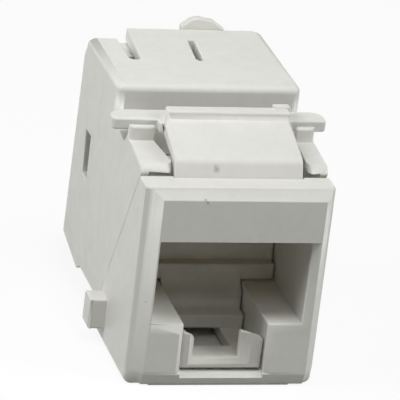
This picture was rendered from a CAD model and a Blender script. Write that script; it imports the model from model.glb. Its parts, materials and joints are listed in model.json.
import json
import math

import bpy
from bpy.props import FloatProperty, FloatVectorProperty, PointerProperty
from bpy.types import Operator, Panel, PropertyGroup
from mathutils import Matrix, Vector


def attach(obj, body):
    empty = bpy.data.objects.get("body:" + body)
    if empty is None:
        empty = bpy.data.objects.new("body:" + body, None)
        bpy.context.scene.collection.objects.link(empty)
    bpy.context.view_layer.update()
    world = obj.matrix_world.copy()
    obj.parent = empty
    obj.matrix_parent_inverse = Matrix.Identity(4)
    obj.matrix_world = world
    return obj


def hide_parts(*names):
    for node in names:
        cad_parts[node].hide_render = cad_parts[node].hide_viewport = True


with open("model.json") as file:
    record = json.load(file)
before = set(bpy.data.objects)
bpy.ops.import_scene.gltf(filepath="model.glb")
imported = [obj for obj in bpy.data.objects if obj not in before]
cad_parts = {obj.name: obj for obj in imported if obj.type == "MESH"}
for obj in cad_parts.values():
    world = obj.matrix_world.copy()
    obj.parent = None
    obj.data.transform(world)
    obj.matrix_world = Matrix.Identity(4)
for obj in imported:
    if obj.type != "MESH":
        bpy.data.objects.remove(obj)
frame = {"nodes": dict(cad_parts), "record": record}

bl_info = {
    "name": "Keystone Jack",
    "version": (1, 0, 0),
    "blender": (4, 5, 0),
    "location": "View3D > Sidebar > Keystone Jack",
    "description": "Finishes a snap-in network socket: moulded housings, contacts, terminals and its stage",
    "category": "Add Mesh",
}

MM = 0.001
NOTHING = 1e-6                  # a width that counts as none
WIDEST = 0.35                   # the largest edge radius, in millimetres
ROOM = 2.2                      # the flat a rounded edge needs beside it, in radii
SHARP = math.radians(35.0)      # an edge that turns by more than this can be rounded
SMOOTH = math.radians(40.0)     # an edge that turns by less than this is shaded smooth
WHITE = (1.0, 1.0, 1.0, 1.0)
# what each record slot is made of
FINISHES = {"white_plastic": "ABS_satin_moulded", "insert_plastic": "PBT_moulded_natural",
            "contact_gold": "Bronze_wire_gold_plated", "terminal_bronze": "Bronze_strip_tin_plated",
            "board_laminate": "Glass_epoxy_solder_mask"}
# place and radius in millimetres, and strength: on the lever's bend, under the brow and on the left cheek
SCUFFS = (((-1.51, -9.82, 16.67), 0.30, 0.42), ((-1.62, -9.77, 16.9), 0.26, 0.36),
          ((-2.71, -12.5, 15.13), 0.17, 0.55), ((-2.87, -12.43, 15.34), 0.13, 0.5),
          ((-6.47, -12.2, 6.95), 0.12, 0.3))
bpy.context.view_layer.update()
NODES = frame["nodes"]
BODY_OF = {node: body for body, nodes in frame["record"]["behaviour"]["bodies"].items() for node in nodes}
SLOT_OF = {part["node"]: part["material_slot"] for part in frame["record"]["subparts"]}


def to_linear(code):
    """An sRGB hex colour as the linear values that shaders and lamps take."""
    values = [int(code[i:i + 2], 16) / 255 for i in (0, 2, 4)]
    return [v / 12.92 if v <= 0.04045 else ((v + 0.055) / 1.055) ** 2.4 for v in values]


def add_node(tree, kind, inputs=None, **settings):
    """A shader node with its settings, and with each input set or linked."""
    node = tree.nodes.new(kind)
    for name, value in settings.items():
        setattr(node, name, value)
    for socket, value in (inputs or {}).items():
        if isinstance(value, bpy.types.NodeSocket):
            tree.links.new(value, node.inputs[socket])
        else:
            node.inputs[socket].default_value = value
    return node


def new_material(name):
    """An empty node material with its output, and the tree."""
    material = bpy.data.materials.new(name)
    material.use_nodes = True
    tree = material.node_tree
    tree.nodes.clear()
    return material, tree


def add_scuff(tree, place, surface, point, radius, depth):
    """A small dark scuff on a surface colour, round a point in millimetres, with a ragged edge."""
    away = add_node(tree, "ShaderNodeVectorMath", {0: place, 1: [part * MM for part in point]},
                    operation="DISTANCE")
    # the edge wavers every 0.25 mm or so
    ragged = add_node(tree, "ShaderNodeTexNoise", {"Vector": place, "Scale": 1 / (0.25 * MM), "Detail": 2.0})
    wavy = add_node(tree, "ShaderNodeMath", {0: away.outputs["Value"], 1: ragged.outputs["Fac"]},
                    operation="MULTIPLY")
    share = add_node(tree, "ShaderNodeMapRange", {"Value": wavy.outputs[0], "From Min": 0.1 * radius * MM,
                                                  "From Max": 0.5 * radius * MM, "To Min": depth,
                                                  "To Max": 0.0})
    mix = add_node(tree, "ShaderNodeMix", {"Factor": share.outputs["Result"], "A": surface,
                                           "B": (*to_linear("6E6870"), 1.0)}, data_type="RGBA")
    return mix.outputs["Result"]


def moulded_plastic(name, colour, shade, roughness, grit, relief, scuffs=()):
    """An injection-moulded plastic: even colour with faint clouding, and the fine grit of the eroded mould."""
    material, tree = new_material(name)
    place = add_node(tree, "ShaderNodeTexCoord").outputs["Object"]
    # clouding: patches about 3 mm across, a little darker where the melt met
    cloud = add_node(tree, "ShaderNodeTexNoise", {"Vector": place, "Scale": 1 / (3.0 * MM), "Detail": 3.0,
                                                  "Roughness": 0.55})
    # a fainter and finer greying from handling, about 0.7 mm across
    grime = add_node(tree, "ShaderNodeTexNoise", {"Vector": place, "Scale": 1 / (0.7 * MM), "Detail": 4.0,
                                                  "Roughness": 0.65})
    blend = add_node(tree, "ShaderNodeMath", {0: cloud.outputs["Fac"], 1: grime.outputs["Fac"]},
                     operation="MULTIPLY")
    share = add_node(tree, "ShaderNodeMapRange", {"Value": blend.outputs[0], "From Min": 0.12,
                                                  "From Max": 0.42})
    surface = add_node(tree, "ShaderNodeMix", {"Factor": share.outputs["Result"], "A": (*colour, 1.0),
                                               "B": (*shade, 1.0)}, data_type="RGBA").outputs["Result"]
    for point, radius, depth in scuffs:
        surface = add_scuff(tree, place, surface, point, radius, depth)
    # the grit that the eroded mould leaves, its size given in millimetres
    fine = add_node(tree, "ShaderNodeTexNoise", {"Vector": place, "Scale": 1 / (grit * MM), "Detail": 2.0,
                                                 "Roughness": 0.6})
    # the gloss differs a little from patch to patch, 1.4 mm across
    wave = add_node(tree, "ShaderNodeTexNoise", {"Vector": place, "Scale": 1 / (1.4 * MM), "Detail": 1.0})
    rough = add_node(tree, "ShaderNodeMapRange", {"Value": wave.outputs["Fac"], "From Min": 0.3,
                                                  "From Max": 0.7, "To Min": roughness - 0.05,
                                                  "To Max": roughness + 0.07})
    bump = add_node(tree, "ShaderNodeBump", {"Height": fine.outputs["Fac"], "Strength": relief,
                                             "Distance": 0.02 * MM})
    shader = add_node(tree, "ShaderNodeBsdfPrincipled",
                      {"Base Color": surface, "Roughness": rough.outputs["Result"],
                       "Normal": bump.outputs["Normal"], "IOR": 1.53})
    add_node(tree, "ShaderNodeOutputMaterial", {"Surface": shader.outputs["BSDF"]})
    return material


def plated_metal(name, colour, tarnish, roughness):
    """A drawn or stamped metal with a thin plating: faint draw lines and a slightly uneven tarnish."""
    material, tree = new_material(name)
    place = add_node(tree, "ShaderNodeTexCoord").outputs["Object"]
    # draw lines 0.12 mm apart and a dozen times as long
    stretch = add_node(tree, "ShaderNodeMapping", {"Vector": place, "Scale": (1.0, 0.08, 1.0)})
    lines = add_node(tree, "ShaderNodeTexNoise", {"Vector": stretch.outputs["Vector"], "Scale": 1 / (0.12 * MM),
                                                  "Detail": 2.0})
    # tarnish in patches 0.9 mm across
    patch = add_node(tree, "ShaderNodeTexNoise", {"Vector": place, "Scale": 1 / (0.9 * MM), "Detail": 2.0})
    mix = add_node(tree, "ShaderNodeMix", {"Factor": patch.outputs["Fac"], "A": (*colour, 1.0),
                                           "B": (*tarnish, 1.0)}, data_type="RGBA")
    rough = add_node(tree, "ShaderNodeMapRange", {"Value": lines.outputs["Fac"], "From Min": 0.3,
                                                  "From Max": 0.7, "To Min": roughness - 0.06,
                                                  "To Max": roughness + 0.1})
    shader = add_node(tree, "ShaderNodeBsdfPrincipled",
                      {"Base Color": mix.outputs["Result"], "Roughness": rough.outputs["Result"],
                       "Metallic": 1.0})
    add_node(tree, "ShaderNodeOutputMaterial", {"Surface": shader.outputs["BSDF"]})
    return material


def solder_mask(name, colour, weave):
    """Glass-epoxy board under a green lacquer, with the cloth just showing through."""
    material, tree = new_material(name)
    place = add_node(tree, "ShaderNodeTexCoord").outputs["Object"]
    # the glass cloth has about 0.5 mm between its threads, and a wave repeats every pi / 10 of its scale
    pitch = math.pi / 10 / (0.5 * MM)
    threads = add_node(tree, "ShaderNodeTexWave", {"Vector": place, "Scale": pitch, "Distortion": 0.4},
                       bands_direction="X")
    cross = add_node(tree, "ShaderNodeTexWave", {"Vector": place, "Scale": pitch, "Distortion": 0.4},
                     bands_direction="Z")
    both = add_node(tree, "ShaderNodeMath", {0: threads.outputs["Fac"], 1: cross.outputs["Fac"]},
                    operation="MULTIPLY")
    mix = add_node(tree, "ShaderNodeMix", {"Factor": both.outputs[0], "A": (*colour, 1.0),
                                           "B": (*weave, 1.0)}, data_type="RGBA")
    bump = add_node(tree, "ShaderNodeBump", {"Height": both.outputs[0], "Strength": 0.2, "Distance": 0.02 * MM})
    shader = add_node(tree, "ShaderNodeBsdfPrincipled",
                      {"Base Color": mix.outputs["Result"], "Roughness": 0.3, "Normal": bump.outputs["Normal"],
                       "IOR": 1.55})
    add_node(tree, "ShaderNodeOutputMaterial", {"Surface": shader.outputs["BSDF"]})
    return material


def finish_of(slot):
    """The material of a record slot, made once."""
    look = bpy.context.scene.keystone_look
    name = FINISHES[slot]
    found = bpy.data.materials.get(name)
    if found:
        return found
    if slot == "white_plastic":
        # ABS from a finely eroded mould: off-white and satin, so its edges catch a soft light
        return moulded_plastic(name, look.housing_colour, look.housing_shade, 0.42, 0.07, 0.25, SCUFFS)
    if slot == "insert_plastic":
        # PBT: a little greyer and more matt than the ABS beside it
        return moulded_plastic(name, look.insert_colour, look.insert_shade, 0.5, 0.08, 0.25)
    if slot == "contact_gold":
        # thin hard gold on drawn bronze wire: bright, warm streaks
        return plated_metal(name, to_linear("E3BC62"), to_linear("C99A45"), 0.24)
    if slot == "terminal_bronze":
        # matt tin on stamped strip: grey and dull
        return plated_metal(name, to_linear("C9C8C4"), to_linear("A5A4A0"), 0.38)
    return solder_mask(name, to_linear("1F5A3A"), to_linear("2B6B47"))


def start_piece():
    """Nothing selected, and no piece being edited."""
    if bpy.context.object and bpy.context.object.mode != "OBJECT":
        bpy.ops.object.mode_set(mode="OBJECT")
    bpy.ops.object.select_all(action="DESELECT")


def select_only(piece):
    """The piece alone is selected and active."""
    start_piece()
    piece.select_set(True)
    bpy.context.view_layer.objects.active = piece


def merged_copy(node, name):
    """A copy of a CAD node as one closed mesh, with its flat faces whole."""
    piece = bpy.data.objects.new(name, NODES[node].data.copy())
    bpy.context.scene.collection.objects.link(piece)
    select_only(piece)
    bpy.ops.object.mode_set(mode="EDIT")
    bpy.ops.mesh.select_all(action="SELECT")
    bpy.ops.mesh.remove_doubles(threshold=0.002 * MM)
    bpy.ops.mesh.dissolve_limited(angle_limit=math.radians(0.3))
    bpy.ops.object.mode_set(mode="OBJECT")
    return piece


def shift_points(piece, passes, way):
    """Move the points that pass a test on their place in millimetres, all by one way in millimetres."""
    select_only(piece)
    bpy.ops.object.mode_set(mode="EDIT")
    bpy.ops.mesh.select_mode(type="VERT")
    bpy.ops.mesh.select_all(action="DESELECT")
    bpy.ops.object.mode_set(mode="OBJECT")
    for vertex in piece.data.vertices:
        vertex.select = passes(*(vertex.co / MM))
    if not any(vertex.select for vertex in piece.data.vertices):
        raise RuntimeError("no point to shift on " + piece.name)
    bpy.ops.object.mode_set(mode="EDIT")
    bpy.ops.transform.translate(value=[part * MM for part in way])
    bpy.ops.object.mode_set(mode="OBJECT")


def near(value, wanted, play=0.02):
    """Whether a place in millimetres is the wanted one."""
    return abs(value - wanted) < play


def flatten_cheeks(piece):
    """Turn the nose's round front corners into slanted flats that run up to the port."""
    centre, radius, front = 6.45, 0.9, -11.6      # the round corners, in millimetres
    inner_left, inner_right = 6.04, 6.58          # where each flat meets the front face
    for vertex in piece.data.vertices:
        x, y, z = vertex.co / MM
        across, out = abs(x) - centre, front - y
        if across < -0.001 or out < 0.0:
            continue
        angle = math.atan2(out, max(across, 0.0))
        arc = Vector((centre + radius * math.cos(angle), front - radius * math.sin(angle)))
        inner = Vector((inner_left if x < 0 else inner_right, front - radius))
        flat = Vector((centre + radius, front)).lerp(inner, angle / (math.pi / 2))
        shift = (flat - arc) * MM
        vertex.co.x += shift.x if x > 0 else -shift.x
        vertex.co.y += shift.y


def shave(piece, size, centre, tilt):
    """Cut a slanted flat with a block of a size and place in millimetres, tilted about X."""
    start_piece()
    bpy.ops.mesh.primitive_cube_add(size=1.0, location=[part * MM for part in centre])
    block = bpy.context.object
    block.scale = [part * MM for part in size]
    block.rotation_euler.x = tilt
    bpy.ops.object.transform_apply(location=True, rotation=True, scale=True)
    select_only(piece)
    cut = piece.modifiers.new("Slanted flat", "BOOLEAN")
    cut.operation = "DIFFERENCE"
    cut.object = block
    bpy.ops.object.modifier_apply(modifier=cut.name)
    bpy.data.objects.remove(block)


def shape_nose(piece):
    """Slanted cheeks and lip, and broader bevels at the port's mouth and beside the tab slot."""
    # the lip under the slot
    slope = math.radians(50.0)
    place = (0.0, -12.25 - 0.5 * math.sin(slope), 0.87 + 0.5 * math.cos(slope))
    shave(piece, (6.5, 1.0, 1.4), place, slope - math.pi / 2)
    flatten_cheeks(piece)
    # the mouth's lower bevel, its side bevel and the slot's
    shift_points(piece, lambda x, y, z: near(z, 5.1) and near(y, -12.2), (0.0, 0.15, 0.0))
    shift_points(piece, lambda x, y, z: near(z, 4.8) and near(y, -12.5), (0.0, 0.0, -0.45))
    shift_points(piece, lambda x, y, z: near(x, 6.25) and near(y, -12.5), (0.25, 0.0, 0.0))
    shift_points(piece, lambda x, y, z: near(x, 3.58) and y < -12.4 and z > 1.05, (0.27, 0.0, 0.0))


def shape_insert(piece):
    """Sloping tops on the two prongs, and a broad bevel inside the right one."""
    # the bevel, the tops of the right and left prongs, and the tray's lower front edge
    shift_points(piece, lambda x, y, z: near(x, 1.8) and near(y, -11.9), (0.5, 0.0, 0.0))
    shift_points(piece, lambda x, y, z: near(x, 3.16) and near(z, 4.3) and y < -10.9, (0.0, 0.0, -0.55))
    shift_points(piece, lambda x, y, z: near(x, -2.1) and near(z, 4.3) and y < -10.9, (0.0, 0.0, -0.75))
    shift_points(piece, lambda x, y, z: near(z, 1.22) and near(y, -11.9), (0.0, 0.0, 0.14))


def shape_lever(piece):
    """A taller web beside the left wing, a short left end on the ridge and a low stud on its right."""
    # the web, its front outer corner, the stud, and the ridge's end
    shift_points(piece, lambda x, y, z: near(z, 17.35), (0.0, 0.0, 0.37))
    shift_points(piece, lambda x, y, z: near(z, 17.72) and near(y, -5.7) and x < -4.9, (0.0, 0.0, 0.25))
    shift_points(piece, lambda x, y, z: near(z, 19.7), (0.0, 0.0, -0.12))
    shift_points(piece, lambda x, y, z: near(x, -4.72) and z > 18.6 and y > -5.3, (0.32, 0.0, 0.0))


def shape_rear(piece):
    """The left arm's tip reaches in towards the lever, and both recesses leave room for the pressed wings."""
    shift_points(piece, lambda x, y, z: near(y, -4.72) and 5.1 < abs(x) < 7.4 and z > 17.3, (0.0, -0.08, 0.0))
    shift_points(piece, lambda x, y, z: -5.75 < x < -5.0 and y < -8.4 and 16.3 < z < 17.1, (0.4, 0.0, 0.0))


def sides_by_edge(mesh):
    """For each edge of a mesh, its faces, each with its start vertex and its way inwards."""
    found = [[] for edge in mesh.edges]
    for face in mesh.polygons:
        corners = [mesh.loops[number] for number in face.loop_indices]
        for corner, following in zip(corners, corners[1:] + corners[:1]):
            start = mesh.vertices[corner.vertex_index].co
            along = (mesh.vertices[following.vertex_index].co - start).normalized()
            found[corner.edge_index].append((face, start, along, face.normal.cross(along)))
    return found


def room_beside(face, start, along, inward, length, mesh):
    """The least width of a face square to one of its edges, away from the edge's ends."""
    offsets = [mesh.vertices[number].co - start for number in face.vertices]
    flat = [(offset.dot(along), offset.dot(inward)) for offset in offsets]
    room = []
    for (s0, t0), (s1, t1) in zip(flat, flat[1:] + flat[:1]):
        for tenth in range(1, 10):
            place = length * tenth / 10
            if (s0 - place) * (s1 - place) < 0:
                width = t0 + (t1 - t0) * (place - s0) / (s1 - s0)
                if width > NOTHING:
                    room.append(width)
    return min(room, default=0.0)


def weigh_edges(piece, radius_at):
    """Give each sharp edge that has room the bevel weight for its own radius in millimetres."""
    mesh = piece.data
    weights = mesh.attributes.new("bevel_weight_edge", "FLOAT", "EDGE")
    for edge, sides in zip(mesh.edges, sides_by_edge(mesh)):
        if len(sides) != 2:
            continue
        one, other = (side[0].normal for side in sides)
        if one.angle(other, 0.0) < SHARP:
            continue
        start, end = (mesh.vertices[number].co for number in edge.vertices)
        outer = one.dot(sides[1][3]) <= 0
        room = min(room_beside(*side, (end - start).length, mesh) for side in sides) / MM
        # an edge without room for its own radius takes the common one
        for radius in (radius_at(*((start + end) / 2 / MM), outer), radius_at(0.0, 0.0, 0.0, outer)):
            if radius and room > ROOM * radius:
                weights.data[edge.index].value = radius / WIDEST
                break


def soften_edges(piece, radius_at):
    """Round the sharp edges as a mould does, and keep the flat faces flat."""
    weigh_edges(piece, radius_at)
    select_only(piece)
    bpy.ops.object.shade_smooth_by_angle(angle=SMOOTH)
    bevel = piece.modifiers.new("Soft edges", "BEVEL")
    bevel.width = WIDEST * MM
    bevel.segments = 3
    bevel.limit_method = "WEIGHT"
    bevel.use_clamp_overlap = False
    bpy.ops.object.modifier_apply(modifier=bevel.name)
    bpy.ops.object.shade_smooth_by_angle(angle=SMOOTH)
    even = piece.modifiers.new("Flat faces", "WEIGHTED_NORMAL")
    even.keep_sharp = True
    bpy.ops.object.modifier_apply(modifier=even.name)


def hand_over(piece, node):
    """The piece stands for its CAD node: same body, same slot, same place."""
    piece.data.materials.clear()
    piece.data.materials.append(finish_of(SLOT_OF[node]))
    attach(piece, BODY_OF[node])
    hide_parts(node)


def dress_node(node):
    """The CAD node stays and takes its material."""
    mesh = NODES[node].data
    mesh.materials.clear()
    mesh.materials.append(finish_of(SLOT_OF[node]))


class KeystoneLook(PropertyGroup):
    """Sizes and colours of the jack's finish."""
    edge_radius: FloatProperty(name="Edge radius", description="Radius of the moulded edges",
                               default=0.1 * MM, min=0.0, max=0.3 * MM, unit="LENGTH", precision=5)
    housing_colour: FloatVectorProperty(name="Housing", description="Colour of the moulded housings",
                                        default=to_linear("E3E3DD"), subtype="COLOR", size=3)
    housing_shade: FloatVectorProperty(name="Housing shade", description="Its darker clouding",
                                       default=to_linear("DDDDD6"), subtype="COLOR", size=3)
    insert_colour: FloatVectorProperty(name="Insert", description="Colour of the insert and terminal block",
                                       default=to_linear("D9D8D0"), subtype="COLOR", size=3)
    insert_shade: FloatVectorProperty(name="Insert shade", description="Its darker clouding",
                                      default=to_linear("CFCEC5"), subtype="COLOR", size=3)


class MouldedPiece:
    """What the operators for the moulded pieces share."""
    node = ""

    def shape(self, piece):
        """Small forms of the piece that its solid leaves out; most have none."""

    def radius_at(self, x, y, z, outer):
        """Radius of the edge at a place, all in millimetres; inner corners stay sharp."""
        return bpy.context.scene.keystone_look.edge_radius / MM if outer else 0.0

    def execute(self, context):
        piece = merged_copy(self.node, self.node + "_finished")
        self.shape(piece)
        soften_edges(piece, self.radius_at)
        hand_over(piece, self.node)
        return {"FINISHED"}


class KEYSTONE_OT_front_housing(MouldedPiece, Operator):
    """Finish the front housing with the plug port"""
    bl_idname = "keystone.front_housing"
    bl_label = "Front housing"
    node = "front_housing"

    def shape(self, piece):
        shape_nose(piece)

    def radius_at(self, x, y, z, outer):
        if near(z, 11.95, 0.1) and near(abs(x), 5.95, 0.1) and y < -8.0:
            return 0.3    # the port's upper corners
        if y < -11.0 and abs(x) > 6.4:
            return 0.25 if outer else 0.0    # the cheeks
        return super().radius_at(x, y, z, outer)


class KEYSTONE_OT_rear_housing(MouldedPiece, Operator):
    """Finish the rear housing with its arms and raised block"""
    bl_idname = "keystone.rear_housing"
    bl_label = "Rear housing"
    node = "rear_housing"

    def shape(self, piece):
        shape_rear(piece)

    def radius_at(self, x, y, z, outer):
        if outer and y < -4.9 and 15.8 < z < 17.3 and abs(x) > 4.5:
            return 0.3 if x < 0 else 0.15    # the arms
        if outer and y < -4.5 and z > 17.0:
            return 0.2    # the posts
        return super().radius_at(x, y, z, outer)


class KEYSTONE_OT_latch_lever(MouldedPiece, Operator):
    """Finish the sprung latch lever"""
    bl_idname = "keystone.latch_lever"
    bl_label = "Latch lever"
    node = "latch_lever"

    def shape(self, piece):
        shape_lever(piece)

    def radius_at(self, x, y, z, outer):
        if outer and z > 17.0:
            return 0.2 if z > 18.75 else 0.15    # the ridge, and the wings
        return super().radius_at(x, y, z, outer)


class KEYSTONE_OT_contact_insert(MouldedPiece, Operator):
    """Finish the insert that carries the contacts"""
    bl_idname = "keystone.contact_insert"
    bl_label = "Contact insert"
    node = "contact_insert"

    def shape(self, piece):
        shape_insert(piece)

    def radius_at(self, x, y, z, outer):
        if outer and y < -10.5:
            return 0.2    # the two prongs
        return super().radius_at(x, y, z, outer)


class KEYSTONE_OT_termination_cap(MouldedPiece, Operator):
    """Finish the termination cap with its hook and cable entry"""
    bl_idname = "keystone.termination_cap"
    bl_label = "Termination cap"
    node = "termination_cap"


class KEYSTONE_OT_inner_parts(Operator):
    """Give the contacts, board, terminals and their block their materials"""
    bl_idname = "keystone.inner_parts"
    bl_label = "Inner parts"

    def execute(self, context):
        for node in sorted(NODES):
            if SLOT_OF[node] != "white_plastic" and node != "contact_insert":
                dress_node(node)
        return {"FINISHED"}


class KEYSTONE_OT_stage(Operator):
    """Set the floor, the lamps and the camera"""
    bl_idname = "keystone.stage"
    bl_label = "Stage"

    def execute(self, context):
        set_floor()
        set_lamps()
        set_camera()
        return {"FINISHED"}


def seen_directly(tree):
    """1 where a camera, glossy or transmission ray looks, and 0 for light that is passed on."""
    rays = add_node(tree, "ShaderNodeLightPath").outputs
    first = add_node(tree, "ShaderNodeMath", {0: rays["Is Camera Ray"], 1: rays["Is Glossy Ray"]},
                     operation="MAXIMUM")
    both = add_node(tree, "ShaderNodeMath", {0: first.outputs[0], 1: rays["Is Transmission Ray"]},
                    operation="MAXIMUM")
    return both.outputs[0]


def set_floor():
    """A pale card that runs out of sight, looks white, throws little light back and keeps the jack's shadow."""
    start_piece()
    bpy.ops.mesh.primitive_plane_add(size=4.0, location=(0.0, 0.0, 0.0))
    floor = bpy.context.object
    floor.name = "floor"
    material, tree = new_material("White_card")
    place = add_node(tree, "ShaderNodeTexCoord").outputs["Object"]
    # card fibre, about 1 mm long
    fibre = add_node(tree, "ShaderNodeTexNoise", {"Vector": place, "Scale": 1 / (1.2 * MM), "Detail": 3.0})
    tone = add_node(tree, "ShaderNodeMix", {"Factor": fibre.outputs["Fac"], "A": (*to_linear("FDFDFC"), 1.0),
                                            "B": (*to_linear("F9F9F8"), 1.0)}, data_type="RGBA")
    seen = seen_directly(tree)
    colour = add_node(tree, "ShaderNodeMix", {"Factor": seen, "A": (*to_linear("959593"), 1.0),
                                              "B": tone.outputs["Result"]}, data_type="RGBA")
    card = add_node(tree, "ShaderNodeBsdfDiffuse", {"Color": colour.outputs["Result"]})
    glow = add_node(tree, "ShaderNodeEmission", {"Color": WHITE, "Strength": 1.0})
    # the glow makes the card look white, and what is left of the card itself takes the shadow
    share = add_node(tree, "ShaderNodeMath", {0: seen, 1: 0.88}, operation="MULTIPLY")
    both = add_node(tree, "ShaderNodeMixShader", {0: share.outputs[0], 1: card.outputs[0], 2: glow.outputs[0]})
    add_node(tree, "ShaderNodeOutputMaterial", {"Surface": both.outputs[0]})
    floor.data.materials.append(material)


def set_lamps():
    """Soft boxes overhead and on all four sides, in a dark room with a white backdrop."""
    world = bpy.data.worlds.new("Studio")
    bpy.context.scene.world = world
    world.use_nodes = True
    tree = world.node_tree
    tree.nodes.clear()
    # white to what looks at it, and no light to the rest
    backdrop = add_node(tree, "ShaderNodeBackground", {"Color": WHITE, "Strength": seen_directly(tree)})
    add_node(tree, "ShaderNodeOutputWorld", {"Surface": backdrop.outputs[0]})
    # name, place, side of the square box, power in watts
    lamps = (
        ("left", (-0.397, 0.0, 0.221), 0.22, 0.52),
        ("left_near", (-0.070, -0.020, 0.085), 0.05, 0.036),
        ("right_front", (0.353, -0.165, 0.235), 0.20, 0.88),
        ("overhead", (0.0, -0.117, 0.445), 0.12, 0.55),
        ("front_high", (0.0, -0.277, 0.365), 0.14, 0.22),
        ("back_left", (-0.230, 0.360, 0.120), 0.20, 0.24),
    )
    aim = Vector((0.0, 0.0, 0.01))
    for name, place, size, power in lamps:
        light = bpy.data.lights.new(name, "AREA")
        light.shape = "SQUARE"
        light.size = size
        light.energy = power
        lamp = bpy.data.objects.new(name, light)
        lamp.location = place
        lamp.rotation_euler = (aim - Vector(place)).to_track_quat("-Z", "Y").to_euler()
        bpy.context.scene.collection.objects.link(lamp)
    bpy.context.scene.view_settings.view_transform = "Standard"


def set_camera():
    """A long lens, a little to the left and above, with the jack leaning to the right."""
    turn, rise, lean = 0.294066, 0.381436, 0.122049    # in radians
    distance = 0.300
    aim = Vector((-3.3489 * MM, -12.5 * MM, 15.3598 * MM))
    forward = Vector((math.sin(turn) * math.cos(rise), math.cos(turn) * math.cos(rise), -math.sin(rise)))
    level = Vector((math.cos(turn), -math.sin(turn), 0.0))
    upright = level.cross(forward)
    right = level * math.cos(lean) + upright * math.sin(lean)
    up = upright * math.cos(lean) - level * math.sin(lean)
    data = bpy.data.cameras.new("camera")
    data.sensor_width = 36.0
    data.lens = 365.3
    data.clip_start = 0.01
    data.clip_end = 10.0
    camera = bpy.data.objects.new("camera", data)
    bpy.context.scene.collection.objects.link(camera)
    axes = Matrix((right, up, -forward)).transposed()
    camera.matrix_world = Matrix.Translation(aim - forward * distance) @ axes.to_4x4()
    bpy.context.scene.camera = camera


OPERATORS = (KEYSTONE_OT_front_housing, KEYSTONE_OT_rear_housing, KEYSTONE_OT_latch_lever,
             KEYSTONE_OT_contact_insert, KEYSTONE_OT_termination_cap, KEYSTONE_OT_inner_parts,
             KEYSTONE_OT_stage)


class KEYSTONE_PT_panel(Panel):
    """The jack's operators and its look"""
    bl_idname = "KEYSTONE_PT_panel"
    bl_label = "Keystone Jack"
    bl_space_type = "VIEW_3D"
    bl_region_type = "UI"
    bl_category = "Keystone Jack"

    def draw(self, context):
        look = context.scene.keystone_look
        for name in KeystoneLook.__annotations__:
            self.layout.prop(look, name)
        for operator in OPERATORS:
            self.layout.operator(operator.bl_idname)


def register():
    """Make the classes and the scene's settings known to Blender."""
    for made in (KeystoneLook, *OPERATORS, KEYSTONE_PT_panel):
        bpy.utils.register_class(made)
    bpy.types.Scene.keystone_look = PointerProperty(type=KeystoneLook)


def unregister():
    """Take the settings and the classes away again."""
    del bpy.types.Scene.keystone_look
    for made in reversed((KeystoneLook, *OPERATORS, KEYSTONE_PT_panel)):
        bpy.utils.unregister_class(made)


def main():
    """Finish every piece and set the stage, as the panel's buttons do."""
    register()
    for operator in OPERATORS:
        group, name = operator.bl_idname.split(".")
        getattr(getattr(bpy.ops, group), name)()


if __name__ == "__main__":
    main()
